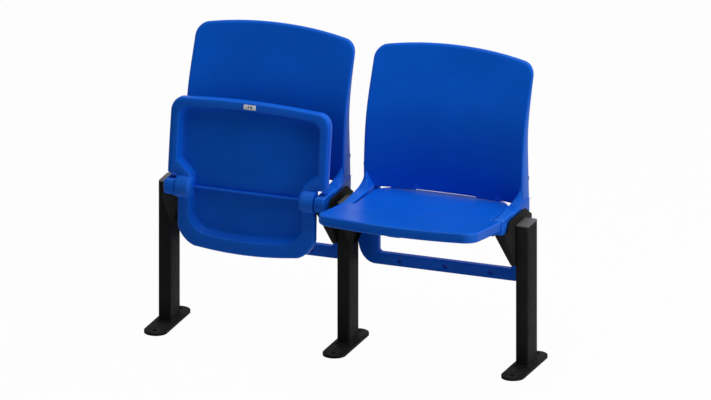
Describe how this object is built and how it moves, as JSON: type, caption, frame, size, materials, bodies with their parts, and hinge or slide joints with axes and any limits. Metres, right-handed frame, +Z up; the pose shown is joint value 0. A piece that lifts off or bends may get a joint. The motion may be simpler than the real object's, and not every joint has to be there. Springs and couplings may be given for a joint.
{
  "type": "stadium seat",
  "caption": "Row of tip-up stadium chairs with moulded plastic backs and ribbed pans that hinge between floor-mounted black steel posts.",
  "frame": {"origin": "on the floor, under the centre of the middle foot plate", "axes": "+X along the row to the right of a viewer in front, +Y to the back, +Z up"},
  "size_m": [1.063, 0.4813, 0.809],
  "materials": {
    "blue_plastic": "satin, fine grain",
    "black_paint": "satin powder coat",
    "black_plastic": "matt",
    "zinc_steel": "zinc plated",
    "white_plastic": "matt"
  },
  "bodies": {
    "frame": {"left_arm_bolt_left_front": "zinc_steel", "left_arm_bolt_left_rear": "zinc_steel", "left_arm_bolt_right_front": "zinc_steel", "left_arm_bolt_right_rear": "zinc_steel", "left_back": "blue_plastic", "left_bracket_left": "black_paint", "left_bracket_right": "black_paint", "left_foot_plate": "black_paint", "left_hinge_pin_left": "zinc_steel", "left_hinge_pin_right": "zinc_steel", "left_post": "black_paint", "left_post_cap": "black_plastic", "middle_foot_plate": "black_paint", "middle_post": "black_paint", "middle_post_cap": "black_plastic", "right_arm_bolt_left_front": "zinc_steel", "right_arm_bolt_left_rear": "zinc_steel", "right_arm_bolt_right_front": "zinc_steel", "right_arm_bolt_right_rear": "zinc_steel", "right_back": "blue_plastic", "right_bracket_left": "black_paint", "right_bracket_right": "black_paint", "right_foot_plate": "black_paint", "right_hinge_pin_left": "zinc_steel", "right_hinge_pin_right": "zinc_steel", "right_post": "black_paint", "right_post_cap": "black_plastic"},
    "left_seat": {"left_hinge_bush_left": "black_plastic", "left_hinge_bush_right": "black_plastic", "left_number_plate": "white_plastic", "left_plate_rivet_left": "zinc_steel", "left_plate_rivet_right": "zinc_steel", "left_seat_pan": "blue_plastic"},
    "right_seat": {"right_hinge_bush_left": "black_plastic", "right_hinge_bush_right": "black_plastic", "right_number_plate": "white_plastic", "right_plate_rivet_left": "zinc_steel", "right_plate_rivet_right": "zinc_steel", "right_seat_pan": "blue_plastic"}
  },
  "joints": [
    {"name": "left_seat_tip", "type": "hinge", "parent": "frame", "child": "left_seat", "pos_m": [-0.25, -0.0695, 0.412], "axis": [1, 0, 0], "range_deg": [0, 90]},
    {"name": "right_seat_tip", "type": "hinge", "parent": "frame", "child": "right_seat", "pos_m": [0.25, -0.0695, 0.412], "axis": [1, 0, 0], "range_deg": [-90, 0]}
  ]
}
